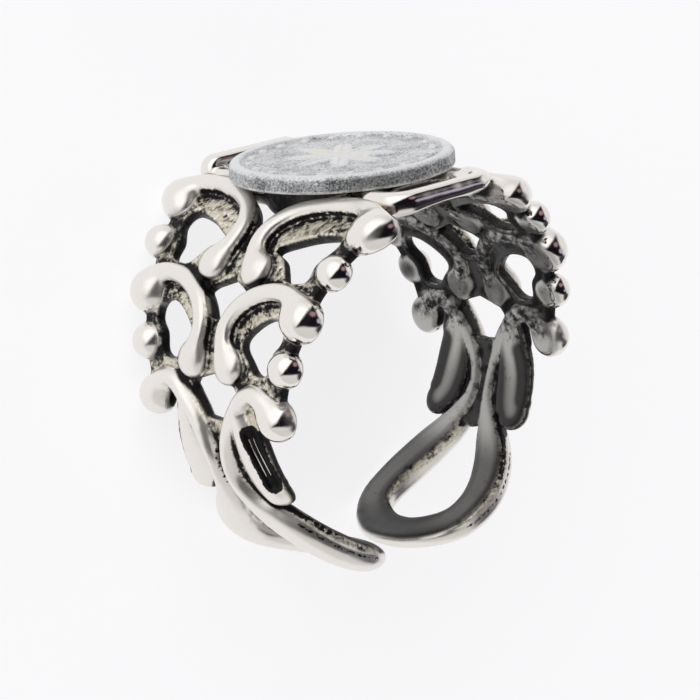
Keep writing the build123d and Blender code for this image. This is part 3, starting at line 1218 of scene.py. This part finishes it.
    def ridges(self) -> bpy.types.Object:
        """Makes the fine ridges that run along the grooves of the four tongues, two in each.

        Returns:
            The piece that holds all eight.
        """
        line = self.groove_line()[self.ridge_trim:-self.ridge_trim]
        swell = np.sin(np.linspace(self.ridge_taper, math.pi - self.ridge_taper, len(line)))
        size = self.ridge_radius * np.sqrt(swell)[:, None]
        angle = 2 * math.pi * np.arange(self.ridge_sides) / self.ridge_sides
        points, faces = [], []
        for side, edge, spread in product((1, -1), repeat=3):
            deep = math.radians(self.groove_lean + spread * self.ridge_spread)
            u = line[:, :1] - self.groove_radius * math.sin(deep) + size * np.cos(angle)
            r = self.trough - self.groove_radius * math.cos(deep) + size * np.sin(angle)
            quads = ring_faces(len(points) * u.size, len(line), self.ridge_sides)
            points.append(self.band.roll(u, line[:, 1:], r).reshape(-1, 3) * [side, 1, edge])
            faces.append(quads[:, ::-1] if side * edge < 0 else quads)
        points = np.concatenate(points)
        marks = dict.fromkeys(("room", "wide_room", "gloss", "strand_painted_light"), np.ones(len(points)))
        marks |= dict.fromkeys(("wall", "inner", "stain"), np.zeros(len(points)))
        return new_piece("tongue_ridges", POSE.lie(points), np.concatenate(faces), marks)

    def build(self) -> list[bpy.types.Object]:
        """Builds the metal once and makes both sides from it, with the ridges in the tongues' grooves.

        Returns:
            The ridges and the two sides' pieces.
        """
        self.fill()
        made = [self.ridges()]
        self.mirror()
        points, faces = self.band.metal.skin()
        marks = self.marks(points)
        upright = self.band.solid(points)
        for side in Side:
            turned = upright * [side.value, 1, 1]
            ordered = faces[:, ::-1] if side is Side.RIGHT else faces
            made.append(new_piece(f"scroll_side_{side.name.lower()}", POSE.lie(turned), ordered, marks))
        return made


@dataclass
class TopFrame:
    """What joins the two sides under the disc: sheet, round pad, and an open bar frame at each edge.

    Sizes are in millimetres, and tops and feet are distances from the finger's centre line.
    """

    bore: float = 8.75
    web_wall: float = 0.8
    plate_reach: float = 5.41
    plate_turn: float = 22.0
    plate_edge: float = 0.1
    pad_radius: float = 4.0
    pad_height: float = 9.6
    pad_edge: float = 0.08
    bar_length: float = 6.5
    bar_reach: float = 7.7
    bar_depth: float = 4.2
    bar_width: float = 1.05
    bar_foot: float = 8.5
    frame_inset: float = 0.25
    leg_rise: float = 5.2
    bar_top: float = 9.58
    near_foot: float = 8.62
    near_slant: float = 0.06
    near_top: float = 9.76
    near_sink: float = 0.3
    near_shift: float = -0.2
    near_edge: float = 0.5
    near_stretch: float = 0.42
    far_top: float = 10.2
    far_corner: float = 0.84
    far_edge: float = 0.42
    end_round: float = 1.5
    bend_slack: float = 0.2
    bend_edge: float = 0.1
    corner: float = 0.7
    inner_edge: float = 0.15
    edge: float = 0.3
    leg_gloss: float = 1.2
    bore_edge: float = 0.3
    fillet: float = 0.2
    wall_facing: tuple = (0.7, 0.3)
    inner_facing: tuple = (0.3, 0.8)
    inner_height: tuple = (0.6, 0.3)
    grid_depth: float = 1.2
    grid_margin: int = 3
    step: float = 0.08

    def __post_init__(self) -> None:
        """Lays out the grid: along the bars, up towards the disc, and along the finger."""
        margin = self.grid_margin * self.step
        reach = self.bar_length / 2 + self.near_stretch + 2 * margin
        low = (-reach, self.bar_foot - self.grid_depth, -self.bar_reach - margin)
        self.metal = MetalField(low, (reach, self.far_top + margin, self.bar_reach + margin), self.step)
        self.places = np.meshgrid(*self.metal.lines, indexing="ij", sparse=True)

    def frame_bar(self, side: Edge) -> np.ndarray:
        """Distance to the open frame at one edge.

        Args:
            side: The edge.

        Returns:
            The distance field of the frame, whose outer bar lies deeper at the near edge.
        """
        x, y, z = self.places
        near = side is Edge.NEAR
        long, deep = self.bar_length / 2, self.bar_depth / 2
        z_off = np.abs(z - side.value * (self.bar_reach - deep))
        outer = slab(np.abs(x) - (long - self.frame_inset), z_off - (deep - self.frame_inset * near),
                     self.end_round if near else self.corner)
        inner = slab(np.abs(x) - (long - self.bar_width), z_off - (deep - self.bar_width), self.corner / 2)
        climb = smooth_step(self.leg_rise, self.bar_reach - self.bar_width, np.abs(z))
        top = self.bar_top + (self.near_top - self.near_sink - self.bar_top) * near * climb
        return slab(carve(outer, -inner, self.inner_edge), between(y, self.bar_foot, top), self.edge)

    def far_member(self) -> np.ndarray:
        """Distance to the far frame's outer bar, which is rounded and stands higher than the rest.

        Returns:
            The distance field of the bar.
        """
        x, y, z = self.places
        face = slab(np.abs(x) - self.bar_length / 2, between(y, self.bar_foot, self.far_top), self.far_corner)
        half = self.bar_width / 2
        return slab(face, np.abs(z + self.bar_reach - half) - half, self.far_edge)

    def near_member(self) -> np.ndarray:
        """Distance to the near frame's outer bar, a wire that bends round in plan at both ends.

        Returns:
            The distance field of the bar.
        """
        x, y, z = self.places
        long, deep = self.bar_length / 2 + self.near_stretch, self.bar_depth / 2
        x_off, z_off = np.abs(x - self.near_shift), np.abs(z - (self.bar_reach - deep))
        outer = slab(x_off - long, z_off - deep, self.end_round)
        inner = slab(x_off - (long - self.bar_width), z_off - (deep - self.bar_width),
                     self.end_round - self.bar_width + self.bend_slack)
        bend = np.maximum(carve(outer, -inner, self.bend_edge), self.leg_rise - z)
        return slab(bend, between(y, self.near_foot - self.near_slant * x, self.near_top), self.near_edge)

    def build(self) -> bpy.types.Object:
        """Builds the frame's metal and makes its piece.

        Returns:
            The piece.
        """
        metal, (x, y, z) = self.metal, self.places
        out, turn = np.hypot(x, y), np.degrees(np.arctan2(x, y))
        plate = np.maximum((np.abs(turn) - self.plate_turn) * math.radians(1) * self.bore,
                           np.abs(z) - self.plate_reach)
        pad = np.hypot(x, z) - self.pad_radius
        metal.add(slab(plate, out - self.bore - self.web_wall, self.plate_edge), self.fillet, 0.0)
        metal.add(slab(pad, y - self.pad_height, self.pad_edge), self.fillet, 0.0)
        legs = smooth_step(self.bar_reach - self.bar_depth, self.bar_reach - self.leg_gloss * self.bar_width,
                           np.abs(z))
        for side, member in ((Edge.NEAR, self.near_member), (Edge.FAR, self.far_member)):
            metal.add(self.frame_bar(side), self.fillet, legs)
            metal.add(member(), self.fillet)
        metal.cut(out - self.bore, self.bore_edge)
        points, faces = metal.skin()
        upright = metal.low + points * metal.step
        facing = metal.slope(points)[:, 1]
        marks = metal.openness(points) | {
            "gloss": metal.read(points, metal.gloss),
            "wall": smooth_step(*self.wall_facing, np.abs(facing)),
            "inner": (smooth_step(*self.inner_facing, -facing)
                      * smooth_step(*self.inner_height, upright[:, 1] - self.bore)),
            "stain": np.zeros(len(points)),
            "strand_painted_light": np.ones(len(points)),
        }
        return new_piece("top_frame", POSE.lie(upright * [1, -1, 1]), faces[:, ::-1], marks)


@dataclass
class CoinDisc:
    """The round disc: a raised rim, a ring of small domes and a plain rosette on a grainy field."""

    radius: float = 5.75
    seat: float = 9.63
    thickness: float = 0.88
    rim_width: float = 0.55
    rim_foot: tuple = (-0.12, 0.04)
    # How much of the painted highlight is kept on the rim and along the bottom lip; the rim and a margin
    # inside it get less.
    rim_highlight_share: float = 0.7
    rim_shadow: float = 0.2
    field_drop: float = 0.16
    relief: float = 0.15
    least_relief: float = 0.02
    stud_count: int = 20
    stud_radius: float = 0.34
    stud_round: float = 0.8
    stud_inset: float = 1.5
    petal_count: int = 8
    petal_length: float = 3.1
    petal_width: float = 1.1
    vein_width: float = 0.12
    vein_depth: float = 0.5
    hub_radius: float = 0.6
    chamfer: float = 0.36
    chamfer_drop: float = 0.34
    chamfer_start: float = 0.1
    bevel: float = 0.10
    # How far above the bottom lip its painted highlight line fades out, in bevels.
    lip_highlight_reach: float = 1.8
    foot_inset: float = 3.0
    centre: float = 0.02
    around: int = 360
    top_rings: int = 96
    chamfer_rings: int = 8
    side_rings: int = 7
    bevel_rings: int = 4
    foot_rings: int = 8

    def top_height(self, radius: np.ndarray, angle: np.ndarray) -> np.ndarray:
        """Works out the relief on the disc's top.

        Args:
            radius: Distances from the disc's middle.
            angle: Angles about it.

        Returns:
            How high the top stands above the field at each place.
        """
        shoulder = self.radius - self.rim_width
        rim = self.field_drop * smooth_step(shoulder + self.rim_foot[0], shoulder + self.rim_foot[1], radius)
        x, z = radius * np.cos(angle), radius * np.sin(angle)
        ring, stud = shoulder - self.stud_inset * self.stud_radius, self.stud_round * self.stud_radius
        relief = np.sqrt(np.clip(1 - (radius / self.hub_radius) ** 2, 0, 1))
        for a in 2 * math.pi * np.arange(self.stud_count) / self.stud_count:
            away = np.hypot(x - ring * math.cos(a), z - ring * math.sin(a))
            relief = np.maximum(relief, np.sqrt(np.clip(1 - (away / stud) ** 2, 0, 1)))
        for a in 2 * math.pi * np.arange(self.petal_count) / self.petal_count:
            along = (x * math.cos(a) + z * math.sin(a) - self.petal_length / 2) / (self.petal_length / 2)
            across = (z * math.cos(a) - x * math.sin(a)) / (self.petal_width / 2)
            leaf = np.sqrt(np.clip(1 - along ** 2 - across ** 2, 0, 1))
            vein = 1 - self.vein_depth * np.exp(-(across / self.vein_width) ** 2)
            relief = np.maximum(relief, leaf * vein)
        return rim + self.relief * relief

    def build(self) -> bpy.types.Object:
        """Turns the disc's profile and raises its relief.

        Returns:
            The piece, which replaces the plain disc.
        """
        angle = np.linspace(0, 2 * math.pi, self.around, endpoint=False)
        crown, lip = self.seat + self.thickness, self.seat + self.bevel
        field = crown - self.field_drop
        rows = [(r, field + self.top_height(np.full_like(angle, r), angle))
                for r in np.linspace(self.centre, self.radius - self.chamfer, self.top_rings)]
        rows += [(self.radius - self.chamfer * (1 - math.sin(a)),
                  crown - self.chamfer_drop * (1 - math.cos(a)))
                 for a in np.linspace(self.chamfer_start, 1.0, self.chamfer_rings) * math.pi / 2]
        rows += [(self.radius, h) for h in np.linspace(crown - self.chamfer_drop, lip, self.side_rings)[1:]]
        rows += [(self.radius - self.bevel * (1 - math.cos(a)), lip - self.bevel * math.sin(a))
                 for a in np.linspace(0, 1, self.bevel_rings + 1)[1:] * math.pi / 2]
        rows += [(r, self.seat) for r in np.linspace(self.radius - self.foot_inset * self.bevel, self.centre,
                                                     self.foot_rings)]
        radii = np.repeat([r for r, _ in rows], self.around)
        heights = np.concatenate([np.broadcast_to(h, angle.shape) for _, h in rows])
        turns = np.tile(angle, len(rows))
        points = np.stack([radii * np.cos(turns), -heights, radii * np.sin(turns)], axis=1)
        # Painted light: the raised relief is marked for a painted highlight, kept lower on the rim, the
        # bottom lip gets a painted highlight line, and the side is marked for painted shade.
        side = radii > self.radius - self.bevel / 2
        rim = np.where(radii > self.radius - self.rim_width - self.rim_shadow, self.rim_highlight_share, 1.0)
        proud = smooth_step(self.least_relief, self.relief, heights - field) * ~side * rim
        lip_highlight = self.rim_highlight_share * smooth_step(self.seat + self.lip_highlight_reach * self.bevel, lip, heights)
        marks = {"proud": np.maximum(proud, lip_highlight), "side": side.astype(float)}
        return new_piece("disc", POSE.lie(points), ring_faces(0, len(rows), self.around), marks)


@dataclass
class Studio:
    """The floor, the lights and the camera.

    The camera's place, its aim and the window's direction are in the ring's upright axes, and the floor's
    sizes are in metres. The dark card and its tints are placed by how the metal that mirrors them faces: to
    the camera's right and up, from -1 to 1.
    """

    camera_place: tuple = (117.08, -46.64, 135.33)
    camera_aim: tuple = (0.21, -0.19, -0.25)
    camera_up: tuple = (-0.2220, -0.9650, -0.1393)
    lens: float = 185.2
    sensor: float = 36.0
    clip: tuple = (0.01, 10.0)
    floor_drop: float = 0.00001
    floor_size: float = 1.2
    low_room: tuple = (0.74, 0.73, 0.72, 1)
    high_room: tuple = (0.86, 0.855, 0.86, 1)
    room_limits: tuple = (-0.75, 0.15)
    dark: tuple = (0.008, 0.006, 0.010, 1)
    card: tuple = ((-0.30, -0.30), (0.82, -0.24), (0.46, 0.70))
    card_edge: tuple = (-0.05, 0.06)
    tints: tuple = (
        ((0.44, 0.30), 0.15, (0.38, 0.24, 0.26, 1)),
        ((0.68, 0.02), 0.12, (0.50, 0.45, 0.60, 1)),
        ((0.76, -0.36), 0.30, (0.05, 0.047, 0.055, 1)),
    )
    tint_core: float = 0.4
    window_from: tuple = (0.7, -1.0, 0.9)
    window_width: float = 80.0
    window_power: float = 0.6
    window_spread: tuple = (0.40, 1.0)
    window_shine: tuple = (1.35, 1.35, 1.33, 1)

    def view(self) -> tuple[Vector, Vector, Vector, Vector]:
        """Finds how the camera stands.

        Returns:
            The camera's place, and the directions to its right, up, and from its aim back to it.
        """
        place, aim, up = (POSE.turned(v) for v in (self.camera_place, self.camera_aim, self.camera_up))
        back = (place - aim).normalized()
        right = up.cross(back).normalized()
        return place, right, back.cross(right), back

    def camera(self) -> None:
        """Creates the camera at the photograph's viewing angle and makes it the scene's."""
        data = bpy.data.cameras.new("camera")
        data.lens, data.sensor_width = self.lens, self.sensor
        data.clip_start, data.clip_end = self.clip
        seat = bpy.data.objects.new("camera", data)
        place, right, up, back = self.view()
        seat.matrix_world = Matrix.Translation(place) @ Matrix((right, up, back)).transposed().to_4x4()
        bpy.context.scene.collection.objects.link(seat)
        bpy.context.scene.camera = seat

    def floor(self, height: float) -> None:
        """Lays a plain pale floor.

        Args:
            height: Where it lies, in metres.
        """
        half = self.floor_size / 2
        points = np.array([(x * half, y * half, height) for x, y in ((-1, -1), (1, -1), (1, 1), (-1, 1))])
        floor = new_piece("floor", points, np.array([[0, 1, 2, 3]]), {})
        floor.data.materials.append(PaleFloor().build())

    def sky(self) -> None:
        """Surrounds the ring with a pale room, darker below, with a bright window and a dark card in it."""
        world = bpy.data.worlds.new("room")
        world.use_nodes = True
        bpy.context.scene.world = world
        sheet = NodeSheet(world.node_tree)
        back = sheet.node("ShaderNodeBackground")
        sheet.join(back.outputs[0], sheet.node("ShaderNodeOutputWorld").inputs["Surface"])
        way_out = sheet.node("ShaderNodeTexCoord").outputs["Generated"]
        _, right, up, ahead = self.view()

        height = sheet.ramp(sheet.toward(way_out, POSE.turned((0, -1, 0))), *self.room_limits)
        shine = sheet.ramp(sheet.toward(way_out, POSE.turned(self.window_from)), *self.window_spread)
        room = sheet.blend(height, self.low_room, self.high_room)
        room = sheet.blend(shine, room, self.window_shine)
        halfway = sheet.vector("ADD", way_out, ahead).outputs[0]
        halfway = sheet.vector("NORMALIZE", halfway).outputs[0]
        across, above = sheet.toward(halfway, right), sheet.toward(halfway, up)
        card = 1.0
        for (x0, y0), (x1, y1) in zip(self.card, self.card[1:] + self.card[:1]):
            length = math.hypot(x1 - x0, y1 - y0)
            nx, ny = -(y1 - y0) / length, (x1 - x0) / length
            inside = sheet.plus(across, nx, sheet.plus(above, ny, -nx * x0 - ny * y0))
            card = sheet.times(card, sheet.ramp(inside, *self.card_edge))
        room = sheet.blend(card, room, self.dark)
        for (x, y), size, colour in self.tints:
            squares = [sheet.sums("POWER", sheet.sums("SUBTRACT", value, middle), 2.0)
                       for value, middle in ((across, x), (above, y))]
            away = sheet.sums("SQRT", sheet.sums("ADD", *squares))
            room = sheet.blend(sheet.ramp(away, self.tint_core * size, size, 1.0, 0.0), room, colour)
        sheet.join(room, back.inputs["Color"])
        back.inputs["Strength"].default_value = 1.0

    def sun(self) -> None:
        """Adds a large soft light from where the window is, which isn't mirrored in the metal."""
        data = bpy.data.lights.new("window", "SUN")
        data.energy = self.window_power
        data.angle = math.radians(self.window_width)
        lamp = bpy.data.objects.new("window", data)
        lamp.visible_glossy = False
        lamp.rotation_euler = (-POSE.turned(self.window_from)).to_track_quat("-Z", "Y").to_euler()
        bpy.context.scene.collection.objects.link(lamp)

    def build(self) -> None:
        """Sets up the whole studio."""
        self.floor(CAD_BOX[0][2] - self.floor_drop)
        self.camera()
        self.sky()
        self.sun()
        bpy.context.scene.view_settings.view_transform = "Standard"


def dress(piece: bpy.types.Object, material: bpy.types.Material, node: str) -> None:
    """Gives a piece its finish, hides the solid that it stands for, and rides it on the ring.

    Args:
        piece: The piece.
        material: Its finish.
        node: The solid that it replaces.
    """
    piece.data.materials.append(material)
    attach(piece, "root")
    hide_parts(node)
    LOG.info("%s: %d faces", piece.name, len(piece.data.polygons))


def main() -> None:
    """Builds the ring and its studio."""
    logging.basicConfig(level=logging.INFO, format="%(message)s")
    silver = OxidisedSilver().build()
    for piece in ScrollSide().build():
        dress(piece, silver, "scroll_band")
    dress(TopFrame().build(), silver, "scroll_band")
    dress(CoinDisc().build(), GreyDiscMetal().build(), "coin_disc")
    Studio().build()


if __name__ == "__main__":
    main()
